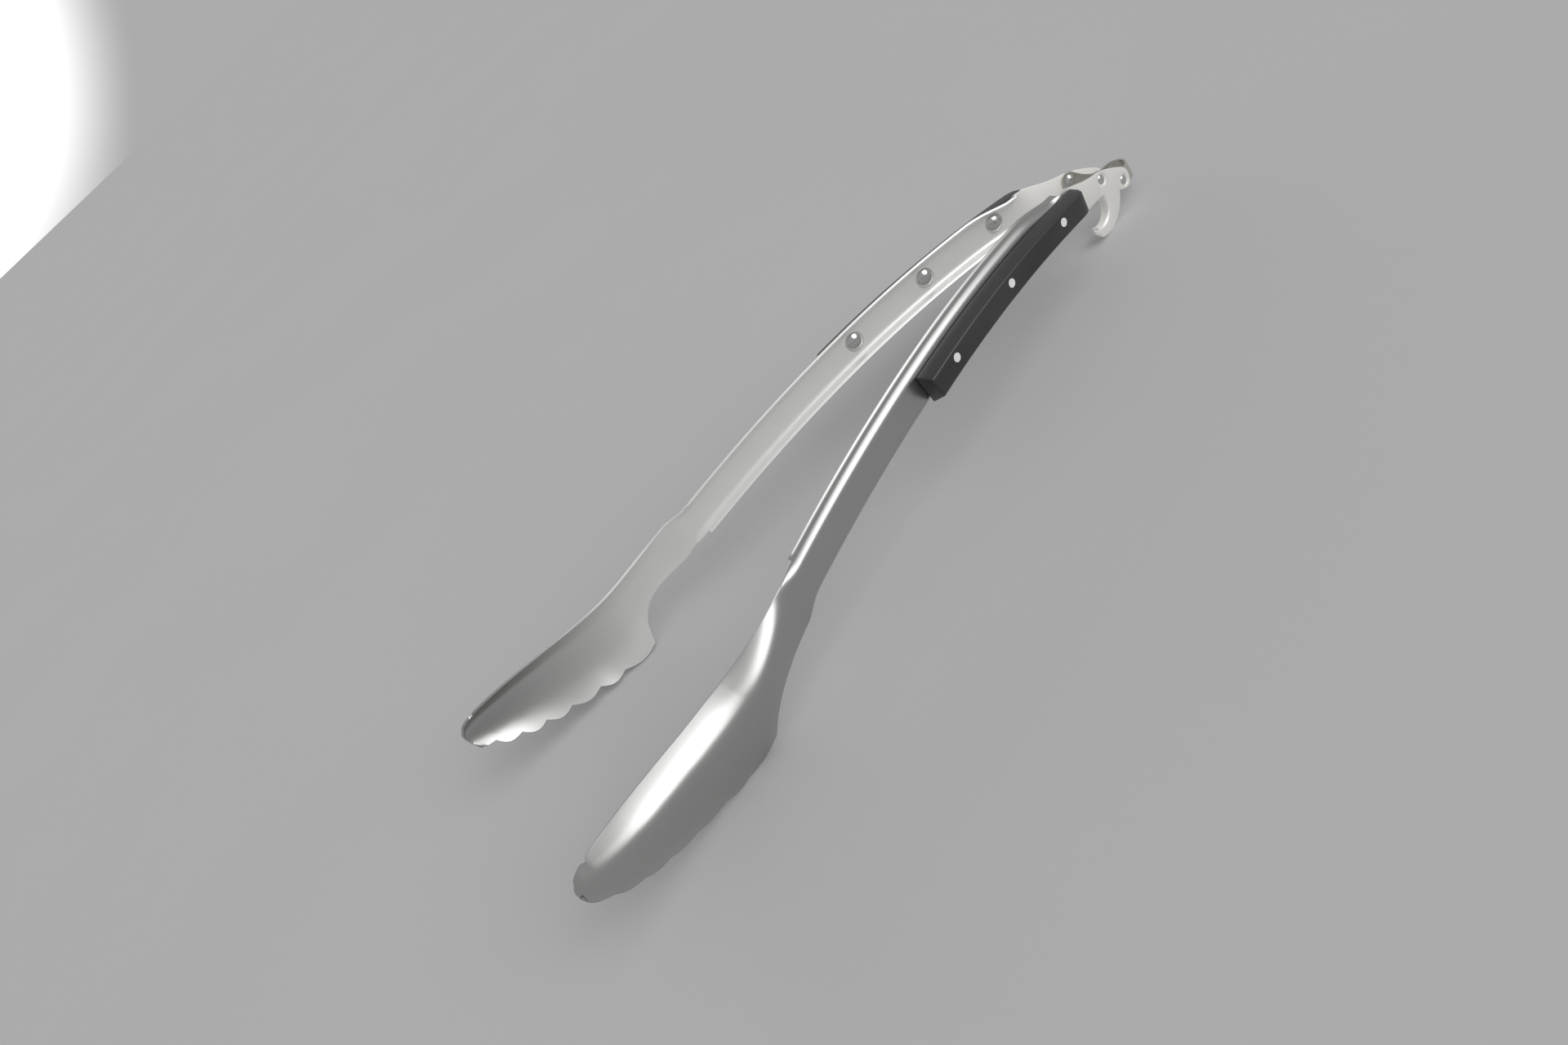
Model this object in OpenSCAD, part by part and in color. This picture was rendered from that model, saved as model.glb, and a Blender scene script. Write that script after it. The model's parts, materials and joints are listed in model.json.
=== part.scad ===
// Spring loaded kitchen tongs: two stamped steel arms with spoon shaped, scalloped heads,
// a riveted grip scale on each arm, and a bent leaf spring that joins the arms at the tail.
// +X runs from the tail to the heads, +Y is the side of the arm with the hanging hook, +Z is up.
// The tongs rest on the hook and on the scallops of both heads. The origin is at table height,
// under the middle of the overall length. Each arm is drawn closed, then swung open about the
// axis of the spring's bend.

/* [Arms] */
// Length from the axis of the spring's bend to the tip of the heads
arm_len = 408; // [340:1:490]
// Height of the flat web of an arm
web_h = 20.6; // [17:0.2:25]
// Thickness of the sheet that the arms are stamped from
sheet_t = 1.2; // [0.8:0.1:1.6]
// Depth of the flanges, over the outer face of the web
flange_d = 5.5; // [4:0.1:6]
// Half of the distance over both webs when the tongs are closed
half_gap = 8.5; // [7:0.1:11]
// Angle that each arm stands open from the middle plane
open_angle = 9.5; // [6:0.5:12]
// Radius of the arch from the tail to the middle of the arm
arch_tail_r = 590; // [500:5:900]
// Radius of the arch from the middle of the arm to the neck
arch_head_r = 787; // [600:5:1200]

/* [Heads] */
// Depth of the dish of a head
dish_d = 9; // [5:0.5:11]
// Distance that the rim of a head turns in from the web
rim_in = 3.8; // [2:0.1:3.8]
// Share of a head's height, from the lower edge, at which the dish is deepest
crown = 0.64; // [0.5:0.01:0.7]
// Height of one scallop
scallop_h = 2.2; // [1:0.1:3]

/* [Grips] */
// Length of a grip scale
grip_len = 126; // [100:1:140]
// Thickness of a grip scale over the web
grip_t = 9.6; // [7:0.1:12]
// Height of the grip's top edge over the middle line of the web
grip_top = 4.8; // [4:0.1:6]
// Height of the flat outer face of a grip
grip_face_h = 10; // [7:0.1:11]

/* [Fasteners] */
// Diameter of a grip rivet's shank
rivet_d = 4; // [3:0.1:5]
// Diameter of a grip rivet's domed head
dome_d = 9.6; // [7:0.1:10.5]
// Height of a grip rivet's domed head
dome_h = 2.4; // [1.5:0.1:2.6]
// Diameter of a spring rivet's shank
pin_d = 3.2; // [2.4:0.1:3.6]
// Diameter of a spring rivet's inner head
pin_head_d = 5.4; // [4.5:0.1:6]

/* [Spring] */
// Thickness of the leaf spring's strip
leaf_t = 0.9; // [0.6:0.1:1.2]
// Height of the strip at the bend
leaf_h = 7.6; // [6:0.1:8]

/* [Hook] */
// Radius of the opening of the hanging hook
hook_r = 7.5; // [6:0.1:8]
// Depth of the hook's flange, over the outer face of the arm
hook_flange_d = 4.4; // [3:0.1:5]

/* [Hidden] */
$fn = 64;

steel = "#b9b6ae";
black = "#2b2b2c";
bright = "#dcdcda";

hole_clear = 0.1;        // on the diameter of every rivet hole
step = 6;                // length of one stretch of a curved edge
lobe_steps = 5;          // stretches along one scallop
dish_steps = 12;         // stretches across the dish

// Stations along an arm, measured from the axis of the bend
head_len = 148;
neck_x = arm_len - head_len;
grip_x = 39.5;
peak_x = 155;
peak_z = 41.6;
taper_end_x = 75;
tail_top = 5.6;
tail_bottom = 11.4;
flange_x = grip_x + 3;

rivet_shares = [0.17, 0.51, 0.87];
rivet_xs = [for (share = rivet_shares) grip_x + share * grip_len];
spring_pins = [[5.5, 10.6], [18, 22]];

// Hanging hook: two arcs with a rounded tip between them, in degrees about their own centres
hook_c = [29.8, 13.4];
hook_inner = [306, 168];
hook_flange = [172, 304];
hook_outer_c = [27.5, 16.5];
hook_outer_r = 16.5;
hook_outer = [254, 298];
hook_root = [200, 250];
hook_root_w = 1.5;       // how far the hook widens towards its root
hook_tip_r = 1.6;
hook_tip = [-70, 100];
hook_tip_angle = 318;
hook_tip_out = 0.6;      // gap between the opening and the tip's own arc
hook_overlap = [[21, 18], [12, 14]];    // corners inside the end plate

// Dish of a head, measured from the neck
dish_from = 4;
dish_grow = 50;          // length over which the dish deepens
dish_end = 108;
dish_fade = 41;          // length over which it fades at the tip
rim_from = 20;
rim_grow = 50;
dish_power = 2.2;        // how round the dish is across
tip_power = 0.75;        // how bluntly it ends

grip_slope = 1;          // fall of the grip's top face
grip_fn = 1440;
leaf_mid_z = 10;
leaf_mid = [9.5, leaf_mid_z];
leaf_end_r = 4.2;
leaf_end = [170, 10];    // ends of the leaf's round end, in degrees
outer_end_d = 4.6;       // formed outer end of a spring rivet
outer_end_h = 0.7;
recess_d = 6.8;          // round recess in the end plate's outer face, under that end
recess_depth = 0.4;
pin_head_h = 1.2;
rivet_proud = 0.2;       // how far a grip rivet's flush end stands out of the grip
tail_bevel = 4;

web_in = half_gap - sheet_t;    // inner face of the web

function smooth(x) = x <= 0 ? 0 : x >= 1 ? 1 : x * x * (3 - 2 * x);
function arch_r(x) = x < peak_x ? arch_tail_r : arch_head_r;
function mid_z(x) = peak_z - pow(x - peak_x, 2) / (2 * arch_r(x));
function tail_share(x) = smooth((x - grip_x) / (taper_end_x - grip_x));
function top_z(x) = mid_z(x) + tail_top + (web_h / 2 - tail_top) * tail_share(x);
function bottom_z(x) = mid_z(x) - tail_bottom + (tail_bottom - web_h / 2) * tail_share(x);
function stations(from, to) = let (n = ceil((to - from) / step))
    [for (i = [0 : n]) from + (to - from) * i / n];
function reversed(list) = [for (i = [len(list) - 1 : -1 : 0]) list[i]];

// A smooth curve through a list of points, with a number of stretches between each two
function curve_at(p, i, t) = let (a = p[max(i - 1, 0)], b = p[i], c = p[i + 1],
    d = p[min(i + 2, len(p) - 1)])
    0.5 * (2 * b + (c - a) * t + (2 * a - 5 * b + 4 * c - d) * t * t
    + (3 * b - a - 3 * c + d) * t * t * t);
function curve(p, n) = concat([for (i = [0 : len(p) - 2]) for (j = [0 : n - 1])
    curve_at(p, i, j / n)], [p[len(p) - 1]]);

// Edges of the flat end plate at the tail, from the grip round the tail and back
plate_edge = curve([[grip_x, top_z(grip_x)], [27, 29.4], [15.2, 24.8], [5.8, 18.6], [1.4, 14.4],
    [0.8, 11], [2, 7.6], [4.8, 6.2], [8.6, 7.6], [14, 11.9], [22.2, 15.7], [30, 17.7],
    [grip_x, bottom_z(grip_x)]], 3);

// Head outline, from the neck's middle line. The lower edge ends in cusps with a scallop between
// each two, and the upper edge has a small notch before the rounded tip.
neck_z = mid_z(neck_x);
neck_low = [[0, -web_h / 2], [14, -12.4], [29.5, -14], [42.5, -17.2], [51.5, -23.8],
    [56.5, -32.6]];
cusps = [[56.5, -32.6], [76, -31.9], [89.5, -28.9], [105, -25.2], [118, -21.1], [129.5, -16.2],
    [140, -9], [head_len, 1]];
head_top = curve([[0, web_h / 2], [26.5, 7.2], [52, 5.3], [73, 6.2], [96, 8.8], [117, 10.9],
    [134, 11.4], [136.2, 10], [138.4, 11], [143.5, 9.8], [147, 6.8], [head_len, 3.4]], 3);

function scallop(a, b, t) = let (d = b - a, out = [d[1], -d[0]] / norm(d))
    a + d * t + out * scallop_h * sin(180 * t);
low_edge = concat(curve(neck_low, 4),
    [for (k = [0 : len(cusps) - 2]) for (j = [1 : lobe_steps])
    scallop(cusps[k], cusps[k + 1], j / lobe_steps)]);
function top_at(x) = lookup(x, head_top);
function dish_share(x) = smooth((x - dish_from) / dish_grow)
    * pow(max(0, 1 - pow(max(0, x - dish_end) / dish_fade, 2)), tip_power);
function rim_share(x) = smooth((x - rim_from) / rim_grow);
// Distance of the outer face of a head from the middle plane, at x past the neck and at a share
// v of the way up from the lower edge
function crown_share(v) = v > crown ? (v - crown) / (1 - crown) : (crown - v) / crown;
function head_y(x, v) = half_gap - rim_in * rim_share(x)
    + dish_d * dish_share(x) * (1 - pow(crown_share(v), dish_power));

head_bottom = neck_z + min([for (p = low_edge) p[1]]);
hook_bottom = hook_outer_c[1] - hook_outer_r;
table_z = min(head_bottom, hook_bottom);
tip_y = half_gap - rim_in - sheet_t;
front_x = arm_len * cos(open_angle) - tip_y * sin(open_angle);
origin_x = (front_x - web_in) / 2;

// Moves an arm's pieces from the closed position to their place at rest
module on_hook_side() {
    translate([-origin_x, 0, -table_z]) rotate([0, 0, open_angle]) children();
}
module on_plain_side() {
    mirror([0, 1, 0]) on_hook_side() children();
}

// A side view outline in X and Z, made solid from y to y + thick
module plate(y, thick) {
    translate([0, y + thick, 0]) rotate([90, 0, 0]) linear_extrude(thick) children();
}

// A round bar along Y from y to y + length
module bar(x, y, z, d, length) {
    translate([x, y + length, z]) rotate([90, 0, 0]) cylinder(d = d, h = length);
}

module web_outline() {
    xs = stations(grip_x, neck_x);
    polygon(concat([for (x = reversed(xs)) [x, top_z(x)]], plate_edge,
        [for (x = xs) [x, bottom_z(x)]]));
}

module flange(is_top) {
    xs = stations(flange_x, neck_x);
    outer = is_top ? [for (x = xs) [x, top_z(x)]] : [for (x = xs) [x, bottom_z(x)]];
    inset = is_top ? [0, -sheet_t] : [0, sheet_t];
    plate(half_gap - flange_d, flange_d)
        polygon(concat(outer, [for (p = reversed(outer)) p + inset]));
}

module head() {
    rows = len(low_edge);
    cols = dish_steps + 1;
    outer = [for (low = low_edge) for (j = [0 : dish_steps])
        let (v = j / dish_steps, z = low[1] + (top_at(low[0]) - low[1]) * v)
        [neck_x + low[0], head_y(low[0], v), neck_z + z]];
    inner = [for (p = outer) p - [0, sheet_t, 0]];
    side = rows * cols;
    faces = concat(
        [for (i = [0 : rows - 2]) for (j = [0 : cols - 2]) let (a = i * cols + j)
        each [[a, a + 1, a + cols + 1], [a, a + cols + 1, a + cols]]],
        [for (i = [0 : rows - 2]) for (j = [0 : cols - 2]) let (a = side + i * cols + j)
        each [[a, a + cols + 1, a + 1], [a, a + cols, a + cols + 1]]],
        [for (i = [0 : rows - 2]) let (a = i * cols)
        each [[a, a + cols, a + side + cols], [a, a + side + cols, a + side]]],
        [for (i = [0 : rows - 2]) let (a = i * cols + cols - 1)
        each [[a, a + side + cols, a + cols], [a, a + side, a + side + cols]]],
        [for (j = [0 : cols - 2]) let (a = j)
        each [[a, a + side + 1, a + 1], [a, a + side, a + side + 1]]],
        [for (j = [0 : cols - 2]) let (a = (rows - 1) * cols + j)
        each [[a, a + 1, a + side + 1], [a, a + side + 1, a + side]]]);
    polyhedron(concat(outer, inner), [for (f = faces) reversed(f)]);
}

function arc(c, r, from, to, n) = [for (i = [0 : n]) let (a = from + (to - from) * i / n)
    c + r * [cos(a), sin(a)]];

// Hanging hook below the end plate, with a flange along the inside of its bend
module hook() {
    steps = 12;
    root = [for (i = [0 : steps]) let (a = hook_root[0] + (hook_root[1] - hook_root[0]) * i / steps,
        r = hook_outer_r + hook_root_w * pow(1 - i / steps, 2))
        hook_outer_c + r * [cos(a), sin(a)]];
    tip_mid = hook_c + (hook_r + hook_tip_r + hook_tip_out)
        * [cos(hook_tip_angle), sin(hook_tip_angle)];
    plate(web_in, sheet_t)
        polygon(concat(root, arc(hook_outer_c, hook_outer_r, hook_outer[0], hook_outer[1], 8),
            arc(tip_mid, hook_tip_r, hook_tip[0], hook_tip[1], 8),
            arc(hook_c, hook_r, hook_inner[0], hook_inner[1], 20), hook_overlap));
    plate(half_gap - hook_flange_d, hook_flange_d)
        polygon(concat(arc(hook_c, hook_r, hook_flange[0], hook_flange[1], 20),
            arc(hook_c, hook_r + sheet_t, hook_flange[1], hook_flange[0], 20)));
}

// One stamped arm without its hook: end plate, channel, neck and spoon shaped head
module arm() {
    difference() {
        union() {
            plate(web_in, sheet_t) web_outline();
            flange(true);
            flange(false);
            head();
            children();
        }
        for (x = rivet_xs) bar(x, 0, mid_z(x), rivet_d + hole_clear, 2 * half_gap);
        for (p = spring_pins) {
            bar(p[0], 0, p[1], pin_d + hole_clear, 2 * half_gap);
            bar(p[0], half_gap - recess_depth, p[1], recess_d, half_gap);
        }
    }
}

// Grip scale on the outside of an arm: flat top, flat outer face and a sloping lower face
module grip() {
    from = asin((peak_x - grip_x) / arch_tail_r);
    to = asin((peak_x - grip_x - grip_len) / arch_tail_r);
    outer_y = half_gap + grip_t;
    difference() {
        translate([peak_x, 0, peak_z - arch_tail_r]) rotate([90, 0, 0]) rotate([0, 0, 90 + to])
            rotate_extrude(angle = from - to, $fn = grip_fn) translate([arch_tail_r, 0])
            polygon([[grip_top, -half_gap], [grip_top - grip_slope, -outer_y],
                [grip_top - grip_slope - grip_face_h, -outer_y], [-web_h / 2, -half_gap]]);
        translate([grip_x, outer_y, 0]) rotate([0, 0, 45])
            cube([2 * tail_bevel, tail_bevel * sqrt(2), 4 * peak_z], center = true);
        for (x = rivet_xs) bar(x, half_gap - 1, mid_z(x), rivet_d + hole_clear, grip_t + 2);
    }
}

// A domed head on the inner side of a face at y, its dome towards the middle plane
module dome(x, y, z, d, h) {
    ball_r = (d * d / 4 + h * h) / (2 * h);
    intersection() {
        translate([x, y - h + ball_r, z]) sphere(r = ball_r);
        bar(x, y - h, z, 2 * d, h);
    }
}

module grip_rivet(i) {
    x = rivet_xs[i];
    z = mid_z(x);
    color(bright) {
        dome(x, web_in, z, dome_d, dome_h);
        bar(x, web_in, z, rivet_d, sheet_t + grip_t + rivet_proud);
    }
}

module spring_rivet(i) {
    x = spring_pins[i][0];
    z = spring_pins[i][1];
    color(bright) {
        dome(x, web_in - leaf_t, z, pin_head_d, pin_head_h);
        bar(x, web_in - leaf_t, z, pin_d, leaf_t + sheet_t - recess_depth);
        mirror([0, 1, 0]) dome(x, recess_depth - half_gap, z, outer_end_d, outer_end_h);
    }
}

// One leaf of the spring, flat against the inside of an arm's end plate
module leaf() {
    function mid(t) = [0, leaf_mid_z] * (1 - t) * (1 - t) + leaf_mid * 2 * t * (1 - t)
        + spring_pins[1] * t * t;
    function across(t) = let (d = mid(t + 0.001) - mid(t)) [-d[1], d[0]] / norm(d);
    function half_w(t) = leaf_h / 2 + (leaf_end_r - leaf_h / 2) * t;
    shares = [for (i = [0 : 8]) i / 8];
    top = [for (t = shares) mid(t) + across(t) * half_w(t)];
    bottom = [for (t = shares) mid(t) - across(t) * half_w(t)];
    end_angle = atan2(across(1)[1], across(1)[0]);
    difference() {
        plate(web_in - leaf_t, leaf_t) polygon(concat(bottom,
            arc(spring_pins[1], leaf_end_r, end_angle - leaf_end[0], end_angle - leaf_end[1], 12),
            reversed(top)));
        for (p = spring_pins) bar(p[0], 0, p[1], pin_d + hole_clear, 2 * half_gap);
    }
}

// Round bend of the spring, centred on the axis that the arms swing about
module spring_bend() {
    over = 1;
    translate([-origin_x, 0, leaf_mid_z - leaf_h / 2 - table_z]) difference() {
        cylinder(r = web_in, h = leaf_h);
        translate([0, 0, -over]) cylinder(r = web_in - leaf_t, h = leaf_h + 2 * over);
        for (side = [0, 1]) mirror([0, side, 0]) rotate([0, 0, open_angle])
            translate([0, 0, -over]) cube([2 * web_in, 2 * web_in, leaf_h + 2 * over]);
        translate([0, -web_in, -over]) cube([2 * web_in, 2 * web_in, leaf_h + 2 * over]);
    }
}

// U shaped strip that joins the arms: a leaf on each end plate and the bend between them
module leaf_spring() {
    color(steel) {
        on_hook_side() leaf();
        on_plain_side() leaf();
        spring_bend();
    }
}

module hook_arm() { on_hook_side() color(steel) arm() hook(); }
module plain_arm() { on_plain_side() color(steel) arm(); }
module hook_arm_grip() { on_hook_side() color(black) grip(); }
module plain_arm_grip() { on_plain_side() color(black) grip(); }

hook_arm();
plain_arm();
hook_arm_grip();
plain_arm_grip();
leaf_spring();
on_hook_side() grip_rivet(0);  // hook_arm_rear_rivet
on_hook_side() grip_rivet(1);  // hook_arm_middle_rivet
on_hook_side() grip_rivet(2);  // hook_arm_front_rivet
on_plain_side() grip_rivet(0);  // plain_arm_rear_rivet
on_plain_side() grip_rivet(1);  // plain_arm_middle_rivet
on_plain_side() grip_rivet(2);  // plain_arm_front_rivet
on_hook_side() spring_rivet(0);  // hook_arm_spring_end_rivet
on_hook_side() spring_rivet(1);  // hook_arm_spring_rivet
on_plain_side() spring_rivet(0);  // plain_arm_spring_end_rivet
on_plain_side() spring_rivet(1);  // plain_arm_spring_rivet
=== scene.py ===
# Spring loaded kitchen tongs: two stamped steel arms with scalloped heads, a black grip scale on each,
# a bent leaf spring at the tail and the rivets that hold it all together.
import json
import math

import bmesh
import bpy
import numpy as np
from mathutils import Matrix, Vector


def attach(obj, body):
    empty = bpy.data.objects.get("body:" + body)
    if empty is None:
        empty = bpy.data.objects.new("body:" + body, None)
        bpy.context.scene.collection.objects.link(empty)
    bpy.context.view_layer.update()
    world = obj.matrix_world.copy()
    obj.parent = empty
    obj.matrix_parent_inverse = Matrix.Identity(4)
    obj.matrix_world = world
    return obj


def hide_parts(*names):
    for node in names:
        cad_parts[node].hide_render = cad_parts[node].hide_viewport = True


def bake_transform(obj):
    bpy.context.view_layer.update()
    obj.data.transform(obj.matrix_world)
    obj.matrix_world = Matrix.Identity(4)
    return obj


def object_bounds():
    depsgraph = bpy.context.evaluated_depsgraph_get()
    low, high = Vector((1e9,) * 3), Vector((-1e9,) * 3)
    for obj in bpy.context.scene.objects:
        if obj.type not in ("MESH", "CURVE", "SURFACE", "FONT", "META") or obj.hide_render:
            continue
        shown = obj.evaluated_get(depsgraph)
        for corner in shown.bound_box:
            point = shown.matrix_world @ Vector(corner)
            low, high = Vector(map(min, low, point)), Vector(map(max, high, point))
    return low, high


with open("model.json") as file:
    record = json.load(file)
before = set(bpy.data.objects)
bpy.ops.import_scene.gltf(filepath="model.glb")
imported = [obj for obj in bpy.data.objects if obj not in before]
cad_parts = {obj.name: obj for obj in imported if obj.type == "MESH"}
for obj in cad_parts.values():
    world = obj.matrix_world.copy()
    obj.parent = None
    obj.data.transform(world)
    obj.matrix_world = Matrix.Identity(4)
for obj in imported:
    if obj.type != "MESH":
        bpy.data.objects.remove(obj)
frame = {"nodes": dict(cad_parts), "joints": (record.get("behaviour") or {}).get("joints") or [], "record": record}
cadBounds = [list(corner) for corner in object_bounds()]
print("stage: frame loaded")

mm = 0.001
weldDistance = 0.01 * mm
hinge = Vector(frame["joints"][0]["pos_m"])
hookAxis = frame["record"]["mounts"][0]["axis"]  # square to the hook side's web at rest
openAngle = math.atan2(-hookAxis[0], hookAxis[1])
bodyOf = {1: "hook_side", -1: "plain_side"}
nameOf = {1: "hook", -1: "plain"}


# Helpers shared by the pieces

def smoothStep(x):
    x = np.clip(x, 0.0, 1.0)
    return x * x * (3 - 2 * x)


def smoothCurve(points, steps):
    # even curve through every point, with a number of stretches between each two
    p = np.array(points, float)
    out = []
    for i in range(len(p) - 1):
        a, b = p[max(i - 1, 0)], p[i]
        c, d = p[i + 1], p[min(i + 2, len(p) - 1)]
        for t in np.arange(steps) / steps:
            cubic = 3 * b - a - 3 * c + d
            out.append(0.5 * (2 * b + (c - a) * t + (2 * a - 5 * b + 4 * c - d) * t * t + cubic * t ** 3))
    out.append(p[-1])
    return np.array(out)


def arcPoints(centre, radius, start, end, count):
    # both ends are angles in degrees
    angles = np.radians(np.linspace(start, end, count))
    return np.array(centre) + radius * np.stack([np.cos(angles), np.sin(angles)], 1)


def gridFaces(rows, cols):
    return [(i * cols + j, i * cols + j + 1, (i + 1) * cols + j + 1, (i + 1) * cols + j)
            for i in range(rows - 1) for j in range(cols - 1)]


def makePiece(name, points, faces, side):
    # points are in millimetres in the closed arm's own frame, x from the axis of the bend
    flip = np.array([1, side, 1]) * mm
    mesh = bpy.data.meshes.new(name)
    ordered = [f if side > 0 else tuple(reversed(f)) for f in faces]
    mesh.from_pydata([tuple(p) for p in np.asarray(points) * flip], [], ordered)
    mesh.transform(Matrix.Translation((hinge.x, 0, 0)) @ Matrix.Rotation(side * openAngle, 4, "Z"))
    piece = bpy.data.objects.new(name, mesh)
    bpy.context.scene.collection.objects.link(piece)
    return piece


def weld(piece):
    bm = bmesh.new()
    bm.from_mesh(piece.data)
    bmesh.ops.remove_doubles(bm, verts=bm.verts, dist=weldDistance)
    bm.to_mesh(piece.data)
    bm.free()


def addBevel(piece, values):
    bevel = piece.modifiers.new("edge", "BEVEL")
    bevel.width = values["edgeRadius"] * mm
    bevel.segments = values["edgeSteps"]
    bevel.limit_method = "ANGLE"
    bevel.angle_limit = math.radians(values["edgeAngle"])
    bevel.use_clamp_overlap = False
    bevel.miter_outer = "MITER_ARC"


def applyModifiers(piece, sharpAngle):
    bpy.context.view_layer.update()
    graph = bpy.context.evaluated_depsgraph_get()
    mesh = bpy.data.meshes.new_from_object(piece.evaluated_get(graph))
    piece.modifiers.clear()
    piece.data = mesh
    mesh.name = piece.name
    mesh.shade_smooth()
    mesh.set_sharp_from_angle(angle=math.radians(sharpAngle))


# Materials

noiseSpan = (0.3, 0.7)  # where nearly all of a noise field's values are
bumpDepth = 0.2 * mm
facingSoft = 0.3  # how gradually the outer finish turns into the inner one


def newMaterial(name):
    material = bpy.data.materials.new(name)
    material.use_nodes = True
    tree = material.node_tree
    tree.nodes.clear()
    output = tree.nodes.new("ShaderNodeOutputMaterial")
    shader = tree.nodes.new("ShaderNodeBsdfPrincipled")
    tree.links.new(shader.outputs["BSDF"], output.inputs["Surface"])
    return material, tree, shader


def alongArm(tree, side, stretch):
    # coordinates that run along an arm at rest, from the axis of the bend
    place = tree.nodes.new("ShaderNodeTexCoord")
    mapping = tree.nodes.new("ShaderNodeMapping")
    mapping.vector_type = "TEXTURE"
    mapping.inputs["Location"].default_value = (hinge.x, 0, 0)
    mapping.inputs["Rotation"].default_value = (0, 0, side * openAngle)
    mapping.inputs["Scale"].default_value = [1 / s for s in stretch]
    tree.links.new(place.outputs["Object"], mapping.inputs["Vector"])
    return mapping.outputs["Vector"]


def noiseField(tree, side, stretch, scale, detail):
    noise = tree.nodes.new("ShaderNodeTexNoise")
    noise.inputs["Scale"].default_value = scale
    noise.inputs["Detail"].default_value = detail
    tree.links.new(alongArm(tree, side, stretch), noise.inputs["Vector"])
    return noise.outputs["Fac"]


def remap(tree, value, low, high):
    node = tree.nodes.new("ShaderNodeMapRange")
    node.inputs["From Min"].default_value = noiseSpan[0]
    node.inputs["From Max"].default_value = noiseSpan[1]
    node.inputs["To Min"].default_value = low
    node.inputs["To Max"].default_value = high
    tree.links.new(value, node.inputs["Value"])
    return node.outputs["Result"]


def blendColours(tree, value, dark, light):
    ramp = tree.nodes.new("ShaderNodeValToRGB")
    ramp.color_ramp.elements[0].position = noiseSpan[0]
    ramp.color_ramp.elements[0].color = (*dark, 1)
    ramp.color_ramp.elements[1].position = noiseSpan[1]
    ramp.color_ramp.elements[1].color = (*light, 1)
    tree.links.new(value, ramp.inputs["Fac"])
    return ramp.outputs["Color"]


def addBump(tree, shader, heights, strength):
    # heights are added together: fine grain plus a slow unevenness
    total = heights[0]
    for height in heights[1:]:
        add = tree.nodes.new("ShaderNodeMath")
        add.operation = "ADD"
        tree.links.new(total, add.inputs[0])
        tree.links.new(height, add.inputs[1])
        total = add.outputs[0]
    bump = tree.nodes.new("ShaderNodeBump")
    bump.inputs["Strength"].default_value = strength
    bump.inputs["Distance"].default_value = bumpDepth
    tree.links.new(total, bump.inputs["Height"])
    tree.links.new(bump.outputs["Normal"], shader.inputs["Normal"])


def smoothShare(tree, value, start, end):
    # 0 at the start value and 1 at the end value, whichever of them is higher
    share = tree.nodes.new("ShaderNodeMapRange")
    share.interpolation_type = "SMOOTHSTEP"
    share.inputs["From Min"].default_value = start
    share.inputs["From Max"].default_value = end
    tree.links.new(value, share.inputs["Value"])
    return share.outputs["Result"]


def mixColour(tree, share, colour, other):
    mix = tree.nodes.new("ShaderNodeMix")
    mix.data_type = "RGBA"
    mix.inputs["B"].default_value = (*other, 1)
    tree.links.new(share, mix.inputs["Factor"])
    tree.links.new(colour, mix.inputs["A"])
    return mix.outputs["Result"]


def addShare(tree, share, amount, value):
    # the value with a share of the amount added
    node = tree.nodes.new("ShaderNodeMath")
    node.operation = "MULTIPLY_ADD"
    node.inputs[1].default_value = amount
    tree.links.new(share, node.inputs[0])
    tree.links.new(value, node.inputs[2])
    return node.outputs[0]


def makeSteel(name, look, side=0):
    material, tree, shader = newMaterial(name)
    grain = noiseField(tree, side, look["grainStretch"], look["grainScale"], 3)
    cloud = noiseField(tree, side, (1, 2, 2), look["cloudScale"], 3)
    metal = tree.nodes.new("ShaderNodeValue").outputs[0]
    metal.default_value = 1 - look["matte"]
    colour = blendColours(tree, cloud, look["dark"], look["light"])
    roughness = remap(tree, grain, *look["roughness"])
    split = tree.nodes.new("ShaderNodeSeparateXYZ")
    tree.links.new(alongArm(tree, side, (1, 1, 1)), split.inputs[0])
    along = split.outputs["X"]
    if "insideLight" in look:
        # the inner faces get a colour, roughness and metal of their own, which fade out along the head: on the
        # arms the paler inner colour is painted light, on the grip rivets it is the domes' plain steel
        place = tree.nodes.new("ShaderNodeTexCoord")
        facing = tree.nodes.new("ShaderNodeVectorMath")
        facing.operation = "DOT_PRODUCT"
        facing.inputs[1].default_value = (-math.sin(openAngle), side * math.cos(openAngle), 0)
        tree.links.new(place.outputs["Normal"], facing.inputs[0])
        inside = smoothShare(tree, facing.outputs["Value"], facingSoft, -facingSoft)
        both = tree.nodes.new("ShaderNodeMath")
        both.operation = "MULTIPLY"
        tree.links.new(inside, both.inputs[0])
        tree.links.new(smoothShare(tree, along, *look["insideEnds"]), both.inputs[1])
        share = both.outputs[0]
        colour = mixColour(tree, share, colour, look["insideLight"])
        roughness = addShare(tree, share, look["insideDull"], roughness)
        metal = addShare(tree, share, -look["insideMatte"], metal)
    if "tailPaintedLight" in look:
        # painted light: the end plate is coloured paler and made duller than the rest of the arm
        share = smoothShare(tree, along, *look["tailEnds"])
        colour = mixColour(tree, share, colour, look["tailPaintedLight"])
        roughness = addShare(tree, share, look["tailDull"], roughness)
        metal = addShare(tree, share, -look["tailMatte"], metal)
    tree.links.new(colour, shader.inputs["Base Color"])
    tree.links.new(roughness, shader.inputs["Roughness"])
    tree.links.new(metal, shader.inputs["Metallic"])
    addBump(tree, shader, [grain, cloud], look["bump"])
    return material


print("stage: material recipes ready")

# Arms

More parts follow.
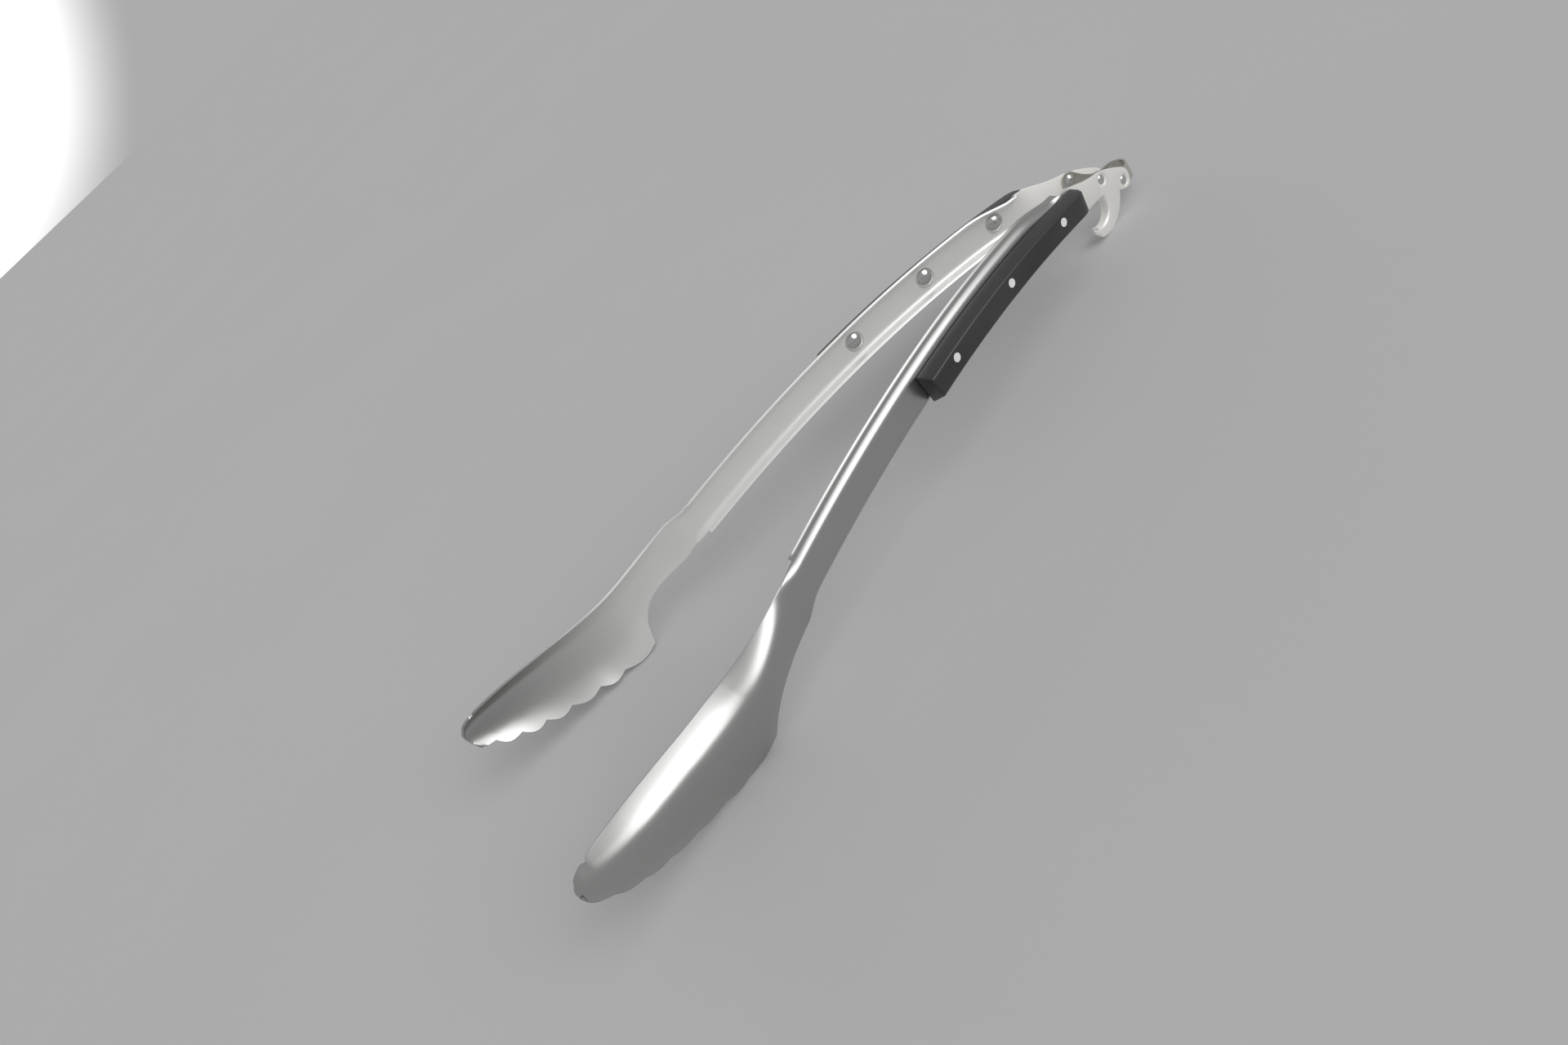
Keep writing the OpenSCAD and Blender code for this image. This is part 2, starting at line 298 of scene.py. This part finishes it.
armLook = {
    "dark": (0.46, 0.458, 0.449), "light": (0.48, 0.478, 0.469), "roughness": (0.275, 0.29),
    "grainStretch": (1, 12, 12), "grainScale": 60, "cloudScale": 9, "bump": 0.001, "matte": 0,
    # painted light: the inner faces of the arms are coloured much paler than the outer steel, fading out along the
    # head
    "insideLight": (0.90, 0.895, 0.875), "insideDull": 0.12, "insideMatte": 0.5, "insideEnds": (0.40, 0.28),
    # painted light: the end plate's steel is coloured paler, duller and partly matt
    "tailPaintedLight": (0.95, 0.94, 0.90), "tailDull": 0.2, "tailMatte": 0.4, "tailEnds": (0.050, 0.034),
}
arm = {
    "neckX": 260, "webHeight": 20.6, "sheet": 1.2, "outerY": 8.5, "flangeDepth": 5.0,
    "bendRadius": 4.0, "flangeRise": 1.0, "peakX": 155, "peakZ": 41.6, "tailRadius": 590,
    "headRadius": 787, "plateX": 44, "gripX": 39.5, "taperX": 75, "tailTop": 5.6, "tailBottom": 11.4,
    "stations": 74, "bendGrow": 9, "edgeRadius": 0.25, "edgeSteps": 2, "edgeAngle": 50, "smoothAngle": 38,
    "thinTip": 4, "thinTo": 0.6,
}
head = {
    "dish": 9.0, "rimIn": 3.8, "crown": 0.64, "scallop": 2.2, "steps": 10, "neckFade": 15,
    "rimFrom": 20, "rimGrow": 50, "dishFrom": 4, "dishGrow": 50, "dishPower": 2.2,
    "fadeFrom": 108, "fadeLength": 41, "tipPower": 0.75, "lipFrom": 30, "lipGrow": 30,
    "neckLow": [(0, -10.3), (14, -12.4), (29.5, -14), (42.5, -17.2), (51.5, -23.8), (56.5, -32.6)],
    "cusps": [(56.5, -32.6), (76, -31.9), (89.5, -28.9), (105, -25.2), (118, -21.1), (129.5, -16.2),
              (140, -9), (148, 1)],
    "dishLow": [(0, -10.3), (12, -13), (26, -18), (40, -24.5), (54, -30), (66, -32.6), (78, -31.8)],
    "top": [(0, 10.3), (26.5, 7.2), (52, 5.3), (73, 6.2), (96, 8.8), (117, 10.9), (134, 11.4),
            (136.2, 10), (138.4, 11), (143.5, 9.8), (147, 6.8), (148, 3.4)],
    "notch": (136.2, 10),
}
plate = {
    "edge": [(27, 29.4), (15.2, 24.8), (5.8, 18.6), (1.4, 14.4), (0.8, 11), (2, 7.6), (4.8, 6.2),
             (8.6, 7.6)],
    "plainEdge": [(14, 11.9), (22.2, 15.7), (30, 17.7)],
    "hookEdge": [(25.5, 16.9), (30, 17.7)],
    "recesses": [((5.5, 10.6), 3.4), ((18, 22), 3.4)], "recessDepth": 0.4, "recessSteps": 40,
    "recessRings": [1.0, 0.94, 0.86, 0.76, 0.66, 0.4, 0.0], "recessSlope": 0.34,
}
hook = {
    "centre": (29.8, 13.4), "radius": 7.5, "outerCentre": (27.5, 16.5), "outerRadius": 16.5,
    "rootWiden": 1.5, "tipRadius": 1.6, "tipOut": 0.6, "flangeDepth": 4.4, "bend": 1.4,
    "rootAngles": (200, 254), "outerAngles": (257, 298), "tipAngle": 318, "tipTurn": (-70, 75),
    "innerAngles": (308, 166), "innerSteps": 36, "rootSteps": 16, "outerSteps": 14, "tipSteps": 10,
}
curveSteps = 6  # stretches between two points of a smooth outline
# columns across the sheet: flange, bend, web, bend, flange
columns = {"flange": 3, "bend": 6, "web": 20}


def midZ(x):
    radius = np.where(x < arm["peakX"], arm["tailRadius"], arm["headRadius"])
    return arm["peakZ"] - (x - arm["peakX"]) ** 2 / (2 * radius)


def tailShare(x):
    return smoothStep((x - arm["gripX"]) / (arm["taperX"] - arm["gripX"]))


def topZ(x):
    return midZ(x) + arm["tailTop"] + (arm["webHeight"] / 2 - arm["tailTop"]) * tailShare(x)


def bottomZ(x):
    return midZ(x) - arm["tailBottom"] + (arm["tailBottom"] - arm["webHeight"] / 2) * tailShare(x)


def headEdges():
    # scalloped lower edge, and the smooth lower and upper edges that the dish is shaped between
    scallops = [smoothCurve(head["neckLow"], curveSteps)]
    for a, b in zip(head["cusps"], head["cusps"][1:]):
        a, b = np.array(a, float), np.array(b, float)
        t = np.linspace(0, 1, head["steps"] + 1)[1:, None]
        along = b - a
        outward = np.array([along[1], -along[0]]) / np.linalg.norm(along)
        scallops.append(a + along * t + outward * head["scallop"] * np.sin(math.pi * t))
    smoothLow = smoothCurve(head["dishLow"] + head["cusps"][2:], curveSteps)
    smoothLow[:, 1] -= head["scallop"] * smoothStep((smoothLow[:, 0] - head["lipFrom"]) / head["lipGrow"])
    smoothTop = smoothCurve([p for p in head["top"] if p != head["notch"]], curveSteps)
    return np.concatenate(scallops), smoothLow, smoothTop


def crossSection(top, bottom, share):
    # bend, web and bend of the channel from the top edge down, as y and z
    r, y = arm["bendRadius"], arm["outerY"]
    t = np.arange(columns["bend"] + 1) / columns["bend"]
    angle = np.radians(90 * (1 - t))
    curved = np.stack([y - r + r * np.cos(angle), -r + r * np.sin(angle)], 1)
    flat = np.stack([np.full_like(t, y), -r * t], 1)
    bend = flat + (curved - flat) * share
    upper = bend + np.array([0, top])
    lower = bend[::-1] * np.array([1, -1]) + np.array([0, bottom])
    z = np.linspace(top - r, bottom + r, columns["web"] + 1)[1:-1]
    web = np.stack([np.full_like(z, y), z], 1)
    return np.concatenate([upper, web, lower])


def headY(x, v):
    # outer face of a head, x past the neck, v from the lower to the upper edge
    rim = smoothStep((x - head["rimFrom"]) / head["rimGrow"])
    fade = (1 - (max(0, x - head["fadeFrom"]) / head["fadeLength"]) ** 2) ** head["tipPower"]
    dish = smoothStep((x - head["dishFrom"]) / head["dishGrow"]) * fade
    c = head["crown"]
    share = np.clip(np.where(v > c, (v - c) / (1 - c), (c - v) / c), 0, 1)
    return arm["outerY"] - head["rimIn"] * rim + head["dish"] * dish * (1 - share ** head["dishPower"])


def sheetRows():
    # one row of points for every station from the end plate to the tip
    flange = columns["flange"]
    rise = arm["flangeRise"]
    rows, flanged = [], []
    first = arm["plateX"] + 2  # the flanges start one station past the plate
    xs = np.concatenate([[arm["plateX"]], np.linspace(first, arm["neckX"], arm["stations"])])
    for x in xs:
        share = float(smoothStep((x - arm["plateX"]) / arm["bendGrow"]))
        top = float(topZ(x)) - rise * share
        bottom = float(bottomZ(x)) + rise * share
        middle = crossSection(top, bottom, share)
        t = np.arange(flange, 0, -1)[:, None] / flange
        reach = np.array([arm["outerY"] - arm["flangeDepth"], top + rise]) - middle[0]
        upper = middle[0] + reach * t
        reach = np.array([arm["outerY"] - arm["flangeDepth"], bottom - rise]) - middle[-1]
        lower = middle[-1] + reach * t[::-1]
        section = np.concatenate([upper, middle, lower])
        rows.append(np.column_stack([np.full(len(section), x), section]))
        flanged.append(x > arm["plateX"])
    channel = rows[-1][flange:-flange]
    v = (channel[:, 2] - channel[-1, 2]) / (channel[0, 2] - channel[-1, 2])
    neckZ = float(midZ(arm["neckX"]))
    topEdge = smoothCurve(head["top"], curveSteps)
    lowEdge, smoothLow, smoothTop = headEdges()
    for low in lowEdge[1:]:
        x = low[0]
        fade = float(smoothStep(x / head["neckFade"]))
        top = np.interp(x, topEdge[:, 0], topEdge[:, 1]) - rise * (1 - fade)
        bottom = low[1] + rise * (1 - fade)
        z = bottom + (top - bottom) * v
        dishLow = np.interp(x, smoothLow[:, 0], smoothLow[:, 1])
        dishTop = np.interp(x, smoothTop[:, 0], smoothTop[:, 1])
        y = channel[:, 1] * (1 - fade) + headY(x, (z - dishLow) / (dishTop - dishLow)) * fade
        middle = np.column_stack([np.full(len(v), arm["neckX"] + x), y, neckZ + z])
        pad = np.repeat(middle[:1], flange, 0), np.repeat(middle[-1:], flange, 0)
        rows.append(np.concatenate([pad[0], middle, pad[1]]))
        flanged.append(False)
    return rows, flanged


def sheetGrid():
    rows, flanged = sheetRows()
    count = len(rows[0])
    flange = columns["flange"]
    faces = []
    for i in range(len(rows) - 1):
        whole = flanged[i] and flanged[i + 1]
        span = range(count - 1) if whole else range(flange, count - 1 - flange)
        for j in span:
            a = i * count + j
            faces.append((a, a + count, a + count + 1, a + 1))
    return np.concatenate(rows), faces, rows[0][flange:-flange]


def plateOutline(side):
    # edge of the flat end plate from the top of the channel round the tail to its bottom
    steps = curveSteps - 1
    x = np.array([arm["plateX"] - 2, arm["gripX"]])
    start = [(a, float(topZ(np.array(a)))) for a in x]
    tailEdge = start + plate["edge"]
    last = [(a, float(bottomZ(np.array(a)))) for a in x[::-1]]
    top = [(arm["plateX"], float(topZ(np.array(arm["plateX"]))))]
    bottom = [(arm["plateX"], float(bottomZ(np.array(arm["plateX"]))))]
    if side < 0:
        return smoothCurve(top + tailEdge + plate["plainEdge"] + last + bottom, steps)[1:-1]
    tail = smoothCurve(top + tailEdge, steps)[1:]
    t = np.linspace(0, 1, hook["rootSteps"])[1:]
    angle = np.radians(hook["rootAngles"][0] + (hook["rootAngles"][1] - hook["rootAngles"][0]) * t)
    radius = hook["outerRadius"] + hook["rootWiden"] * (1 - t) ** 2
    root = np.array(hook["outerCentre"]) + radius[:, None] * np.stack([np.cos(angle), np.sin(angle)], 1)
    outer = arcPoints(hook["outerCentre"], hook["outerRadius"], *hook["outerAngles"], hook["outerSteps"])
    tipReach = hook["radius"] + hook["tipRadius"] + hook["tipOut"]
    tipMiddle = arcPoints(hook["centre"], tipReach, hook["tipAngle"], hook["tipAngle"], 1)[0]
    tip = arcPoints(tipMiddle, hook["tipRadius"], *hook["tipTurn"], hook["tipSteps"])
    innerRadius = hook["radius"] + hook["bend"]
    inner = arcPoints(hook["centre"], innerRadius, *hook["innerAngles"], hook["innerSteps"])
    back = smoothCurve(plate["hookEdge"] + last + bottom, steps)[:-1]
    return np.concatenate([tail, root, outer, tip, inner, back])


def fillOutline(loops):
    bm = bmesh.new()
    for loop in loops:
        verts = [bm.verts.new((p[0], arm["outerY"], p[1])) for p in loop]
        for a, b in zip(verts, verts[1:] + verts[:1]):
            bm.edges.new((a, b))
    bmesh.ops.triangle_fill(bm, edges=bm.edges, use_beauty=True, normal=(0, 1, 0))
    bm.verts.index_update()
    points = np.array([v.co for v in bm.verts])
    faces = []
    for face in bm.faces:
        ids = [v.index for v in face.verts]
        faces.append(tuple(ids if face.normal.y > 0 else reversed(ids)))
    bm.free()
    return points, faces


def fullCircle(centre, radius):
    count = plate["recessSteps"]
    return arcPoints(centre, radius, 0, 360 * (1 - 1 / count), count)


def recessRings(centre, radius):
    # shallow round recess, from its rim to its middle
    shares, count = plate["recessRings"], plate["recessSteps"]
    points, faces = [], []
    for share in shares:
        ring = fullCircle(centre, radius * share)
        drop = plate["recessDepth"] * float(smoothStep((1 - share) / plate["recessSlope"]))
        points.append(np.column_stack([ring[:, 0], np.full(count, arm["outerY"] - drop), ring[:, 1]]))
    for i in range(len(shares) - 1):
        for j in range(count):
            a, b = i * count + j, i * count + (j + 1) % count
            faces.append((a, a + count, b + count, b))
    return np.concatenate(points), faces


def hookFlange():
    # turned-in edge along the inside of the hook: a bend, then a short flat
    bend, radius, y, count = hook["bend"], hook["radius"], arm["outerY"], hook["innerSteps"]
    rows = []
    for a in np.radians(np.linspace(0, 90, 5)):
        rows.append((radius + bend - bend * math.sin(a), y - bend + bend * math.cos(a)))
    for depth in np.linspace(bend, hook["flangeDepth"], 4)[1:]:
        rows.append((radius, y - depth))
    points = []
    for r, rowY in rows:
        ring = arcPoints(hook["centre"], r, *hook["innerAngles"], count)
        points.append(np.column_stack([ring[:, 0], np.full(count, rowY), ring[:, 1]]))
    return np.concatenate(points), gridFaces(len(rows), count)


def buildArm(side):
    points, faces, seam = sheetGrid()
    outline = plateOutline(side)
    outline = np.concatenate([outline, seam[::-1][:, [0, 2]]])
    circles = [fullCircle(c, r) for c, r in plate["recesses"]]
    parts = [(points, faces), fillOutline([outline] + circles)]
    parts += [recessRings(c, r) for c, r in plate["recesses"]]
    if side > 0:
        parts.append(hookFlange())
    allPoints, allFaces, offset = [], [], 0
    for partPoints, partFaces in parts:
        allPoints.append(partPoints)
        allFaces += [tuple(i + offset for i in f) for f in partFaces]
        offset += len(partPoints)
    piece = makePiece(nameOf[side] + "ArmSheet", np.concatenate(allPoints), allFaces, side)
    weld(piece)
    return piece


def finishArm(side):
    piece = buildArm(side)
    bm = bmesh.new()
    bm.from_mesh(piece.data)
    loose = [v for v in bm.verts if not v.link_faces]
    bmesh.ops.delete(bm, geom=loose, context="VERTS")
    # the columns crowd together at the tip, so they are thinned out there
    tip = [v for v in bm.verts if v.co.x > cadBounds[1][0] - arm["thinTip"] * mm]
    bmesh.ops.remove_doubles(bm, verts=tip, dist=arm["thinTo"] * mm)
    bm.to_mesh(piece.data)
    bm.free()
    solid = piece.modifiers.new("sheet", "SOLIDIFY")
    solid.thickness = arm["sheet"] * mm
    solid.offset = -1
    addBevel(piece, arm)
    applyModifiers(piece, arm["smoothAngle"])
    piece.data.materials.append(makeSteel("satinArm", armLook, side))
    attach(piece, bodyOf[side])
    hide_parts(nameOf[side] + "_arm")


for side in (1, -1):
    finishArm(side)
print("stage: arms made")

# Grips

gripLook = {
    "dark": (0.022, 0.022, 0.023), "light": (0.040, 0.039, 0.040), "roughness": (0.30, 0.40),
    "grainScale": 900, "cloudScale": 18, "bump": 0.10, "specular": 0.6,
}
grip = {
    "startX": 39.5, "length": 126, "thickness": 9.6, "top": 4.8, "faceTop": 3.8, "faceHeight": 10,
    "bottom": -10.3, "tailTaper": 7, "tailShare": 0.5, "stations": 60,
    "edgeRadius": 0.8, "edgeSteps": 4, "edgeAngle": 24, "smoothAngle": 40,
}


def makeGripPlastic(look, side):
    material, tree, shader = newMaterial("gripPlastic")
    grain = noiseField(tree, side, (1, 1, 1), look["grainScale"], 2)
    cloud = noiseField(tree, side, (1, 4, 4), look["cloudScale"], 4)
    shader.inputs["Specular IOR Level"].default_value = look["specular"]
    tree.links.new(blendColours(tree, cloud, look["dark"], look["light"]), shader.inputs["Base Color"])
    tree.links.new(remap(tree, cloud, *look["roughness"]), shader.inputs["Roughness"])
    addBump(tree, shader, [grain], look["bump"])
    return material


def finishGrip(side):
    y, stations = arm["outerY"], grip["stations"]
    xs = np.linspace(grip["startX"], grip["startX"] + grip["length"], stations)
    rows = []
    for x in xs:
        radius = arm["tailRadius"] if x < arm["peakX"] else arm["headRadius"]
        slope = -(x - arm["peakX"]) / radius
        up = np.array([-slope, 1]) / math.hypot(slope, 1)
        near = min(1.0, (x - grip["startX"]) / grip["tailTaper"])
        share = grip["tailShare"] + (1 - grip["tailShare"]) * math.sqrt(1 - (1 - near) ** 2)
        outer = y + grip["thickness"] * share
        faceBottom = grip["faceTop"] - grip["faceHeight"]
        section = [(grip["top"], y), (grip["faceTop"], outer), (faceBottom, outer), (grip["bottom"], y)]
        middle = np.array([x, float(midZ(x))])
        for lift, sectionY in section:
            place = middle + up * lift
            rows.append((place[0], sectionY, place[1]))
    faces = []
    for i in range(stations - 1):
        for j in range(4):
            a, b = i * 4 + j, i * 4 + (j + 1) % 4
            faces.append((a, b, b + 4, a + 4))
    last = (stations - 1) * 4
    faces += [(3, 2, 1, 0), (last, last + 1, last + 2, last + 3)]
    faces = [tuple(reversed(f)) for f in faces]
    piece = makePiece(nameOf[side] + "GripScale", rows, faces, side)
    addBevel(piece, grip)
    applyModifiers(piece, grip["smoothAngle"])
    piece.data.materials.append(makeGripPlastic(gripLook, side))
    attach(piece, bodyOf[side])
    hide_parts(nameOf[side] + "_arm_grip")


for side in (1, -1):
    finishGrip(side)
print("stage: grips made")

# Leaf spring

springLook = {
    "dark": (0.60, 0.585, 0.545), "light": (0.70, 0.685, 0.64), "roughness": (0.30, 0.42),
    "grainStretch": (20, 20, 20), "grainScale": 60, "cloudScale": 40, "bump": 0.06, "matte": 0,
}
leaf = {
    "thickness": 0.9, "outerRadius": 7.3, "height": 7.6, "middleZ": 10, "middle": (9.5, 10),
    "end": (18, 22), "endRadius": 4.2, "endStop": 0.12, "columns": 9, "leafSteps": 22, "endSteps": 10,
    "bendSteps": 30, "blendInset": 1.5,
    "edgeRadius": 0.15, "edgeSteps": 2, "edgeAngle": 50, "smoothAngle": 38,
}


def leafStrip():
    # stations from the end of the plain leaf round the bend to the end of the hook leaf
    radius = leaf["outerRadius"]
    start = np.array([0.0, leaf["middleZ"]])
    control, end = np.array(leaf["middle"], float), np.array(leaf["end"], float)
    cols = leaf["columns"]
    across = np.linspace(-1, 1, cols)
    half = []
    for t in np.linspace(0, 1, leaf["leafSteps"]):
        middle = start * (1 - t) ** 2 + control * 2 * t * (1 - t) + end * t * t
        along = (control - start) * (1 - t) + (end - control) * t
        along /= np.linalg.norm(along)
        normal = np.array([-along[1], along[0]])
        width = leaf["height"] / 2 + (leaf["endRadius"] - leaf["height"] / 2) * t
        half.append(middle + across[:, None] * normal * width)
    for a in np.linspace(0, math.pi / 2, leaf["endSteps"])[1:]:
        # rounded end, sections shrink towards its outermost point
        a = min(a, math.pi / 2 - leaf["endStop"])
        middle = end + along * leaf["endRadius"] * math.sin(a)
        half.append(middle + across[:, None] * normal * leaf["endRadius"] * math.cos(a))
    rows = []
    for section in reversed(half):
        rows.append(turned(section, -1))
    z = leaf["middleZ"] + across * leaf["height"] / 2
    bendEnds = -math.pi / 2 - openAngle, -math.pi * 3 / 2 + openAngle
    for a in np.linspace(*bendEnds, leaf["bendSteps"])[1:-1]:
        x, y = radius * math.cos(a), radius * math.sin(a)
        rows.append(np.column_stack([np.full(cols, x), np.full(cols, y), z]))
    for section in half:
        rows.append(turned(section, 1))
    return np.concatenate(rows), gridFaces(len(rows), cols)


def turned(section, side):
    # a leaf's section swung from the closed position to rest
    c, s = math.cos(openAngle), math.sin(openAngle)
    x, y = section[:, 0], leaf["outerRadius"]
    return np.column_stack([x * c - y * s, side * (x * s + y * c), section[:, 1]])


def finishLeafSpring():
    points, faces = leafStrip()
    mesh = bpy.data.meshes.new("leafSpringStrip")
    world = points * mm + np.array([hinge.x, 0, 0])
    mesh.from_pydata([tuple(p) for p in world], [], faces)
    piece = bpy.data.objects.new("leafSpringStrip", mesh)
    bpy.context.scene.collection.objects.link(piece)
    weld(piece)
    solid = piece.modifiers.new("strip", "SOLIDIFY")
    solid.thickness = leaf["thickness"] * mm
    solid.offset = -1
    addBevel(piece, leaf)
    applyModifiers(piece, leaf["smoothAngle"])
    piece.data.materials.append(makeSteel("paleSpring", springLook))
    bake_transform(piece)
    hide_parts("leaf_spring")


finishLeafSpring()
print("stage: leaf spring made")

# Rivets: the CAD solids, with their own finish

# flat ends on the grips painted near white and matt, a painted sheen; bright metal domes on the inside
gripRivetLook = {
    "dark": (0.93, 0.93, 0.92), "light": (0.96, 0.96, 0.95), "roughness": (0.10, 0.14), "matte": 0.85,
    "grainStretch": (20, 20, 20), "grainScale": 50, "cloudScale": 90, "bump": 0.01,
    "insideLight": (0.62, 0.62, 0.61), "insideDull": 0, "insideMatte": -0.85, "insideEnds": (0.33, 0.25),
}
springRivetLook = {
    "dark": (0.62, 0.62, 0.61), "light": (0.72, 0.72, 0.71), "roughness": (0.08, 0.13), "matte": 0,
    "grainStretch": (20, 20, 20), "grainScale": 50, "cloudScale": 90, "bump": 0.01,
}
gripRivet = {side: makeSteel("gripRivet", gripRivetLook, side) for side in (1, -1)}
springRivet = makeSteel("springRivet", springRivetLook)
for name, node in frame["nodes"].items():
    if name.endswith("rivet"):
        side = 1 if name.startswith(nameOf[1]) else -1
        node.data.materials.clear()
        node.data.materials.append(springRivet if "spring" in name else gripRivet[side])
print("stage: rivets finished")

# Floor, lights and camera

floorLook = {
    "radius": 40.0, "steps": 96, "tint": (1.0, 1.0, 1.003), "cloudShare": 0.985, "cloudScale": 3,
    "roughness": 0.9,
}
# soft lights painted into the sky: where each one is, its half width in degrees, its soft edge
sky = {"colour": (1.0, 1.0, 1.01), "strength": 0.41}
softBoxes = {
    "frontLow": {"towards": (-0.44, 0.74, 0.50), "halfWidth": 11, "edge": 16, "strength": 2.5},
    "frontHigh": {"towards": (-0.46, 0.34, 0.82), "halfWidth": 9, "edge": 18, "strength": 1.4},
    "backBox": {"towards": (0.10, -0.97, 0.22), "halfWidth": 6, "edge": 10, "strength": 2.2},
}


def floorShade():
    # shade that makes the floor under all the lights exactly as light as the sky at the horizon
    elevation, azimuth = np.meshgrid(np.radians(np.arange(0.5, 90)), np.radians(np.arange(0, 360, 2)))
    level = np.cos(elevation)
    towards = np.stack([level * np.cos(azimuth), level * np.sin(azimuth), np.sin(elevation)], -1)
    weight = level * np.sin(elevation)
    weight /= weight.sum()
    light = sky["strength"]
    for look in softBoxes.values():
        edges = np.cos(np.radians([look["halfWidth"] + look["edge"], look["halfWidth"]]))
        near = towards @ np.array(Vector(look["towards"]).normalized())
        share = smoothStep((near - edges[0]) / (edges[1] - edges[0]))
        light += look["strength"] * float((share * weight).sum())
    return sky["strength"] / light


def buildFloor():
    count, radius = floorLook["steps"], floorLook["radius"]
    points = [(0, 0, 0)]
    for a in np.linspace(0, 2 * math.pi, count, endpoint=False):
        points.append((radius * math.cos(a), radius * math.sin(a), 0))
    mesh = bpy.data.meshes.new("studioFloor")
    mesh.from_pydata(points, [], [(0, 1 + j, 1 + (j + 1) % count) for j in range(count)])
    floor = bpy.data.objects.new("studioFloor", mesh)
    bpy.context.scene.collection.objects.link(floor)
    material, tree, shader = newMaterial("paleFloor")
    cloud = noiseField(tree, 0, (1, 1, 1), floorLook["cloudScale"], 3)
    shade = floorShade()
    light = tuple(c * shade for c in floorLook["tint"])
    dark = tuple(c * floorLook["cloudShare"] for c in light)
    tree.links.new(blendColours(tree, cloud, dark, light), shader.inputs["Base Color"])
    shader.inputs["Roughness"].default_value = floorLook["roughness"]
    shader.inputs["Specular IOR Level"].default_value = 0.0
    mesh.materials.append(material)


def buildSky():
    world = bpy.data.worlds.new("studio")
    bpy.context.scene.world = world
    world.use_nodes = True
    tree = world.node_tree
    place = tree.nodes.new("ShaderNodeTexCoord")
    total = tree.nodes.new("ShaderNodeValue").outputs[0]
    total.default_value = sky["strength"]
    for look in softBoxes.values():
        dot = tree.nodes.new("ShaderNodeVectorMath")
        dot.operation = "DOT_PRODUCT"
        dot.inputs[1].default_value = Vector(look["towards"]).normalized()
        tree.links.new(place.outputs["Generated"], dot.inputs[0])
        spot = tree.nodes.new("ShaderNodeMapRange")
        spot.interpolation_type = "SMOOTHSTEP"
        spot.inputs["From Min"].default_value = math.cos(math.radians(look["halfWidth"] + look["edge"]))
        spot.inputs["From Max"].default_value = math.cos(math.radians(look["halfWidth"]))
        spot.inputs["To Max"].default_value = look["strength"]
        tree.links.new(dot.outputs["Value"], spot.inputs["Value"])
        add = tree.nodes.new("ShaderNodeMath")
        add.operation = "ADD"
        tree.links.new(spot.outputs["Result"], add.inputs[0])
        tree.links.new(total, add.inputs[1])
        total = add.outputs[0]
    background = tree.nodes["Background"]
    background.inputs["Color"].default_value = (*sky["colour"], 1)
    tree.links.new(total, background.inputs["Strength"])


view = {
    "at": (0.1292, 0.4219, 0.2986), "back": (0.1756, 0.8280, 0.5325), "up": (-0.7539, -0.2348, 0.6136),
    "lens": 26.61, "sensor": 36, "near": 0.01,
}


def buildCamera():
    back, up = Vector(view["back"]).normalized(), Vector(view["up"])
    right = up.cross(back).normalized()
    up = back.cross(right)
    data = bpy.data.cameras.new("camera")
    data.lens = view["lens"]
    data.sensor_width = view["sensor"]
    data.clip_start = view["near"]
    camera = bpy.data.objects.new("camera", data)
    bpy.context.scene.collection.objects.link(camera)
    turn = Matrix((right, up, back)).transposed().to_4x4()
    camera.matrix_world = Matrix.Translation(view["at"]) @ turn
    bpy.context.scene.camera = camera


buildFloor()
buildSky()
buildCamera()
bpy.context.scene.view_settings.view_transform = "Standard"
print("stage: studio made")
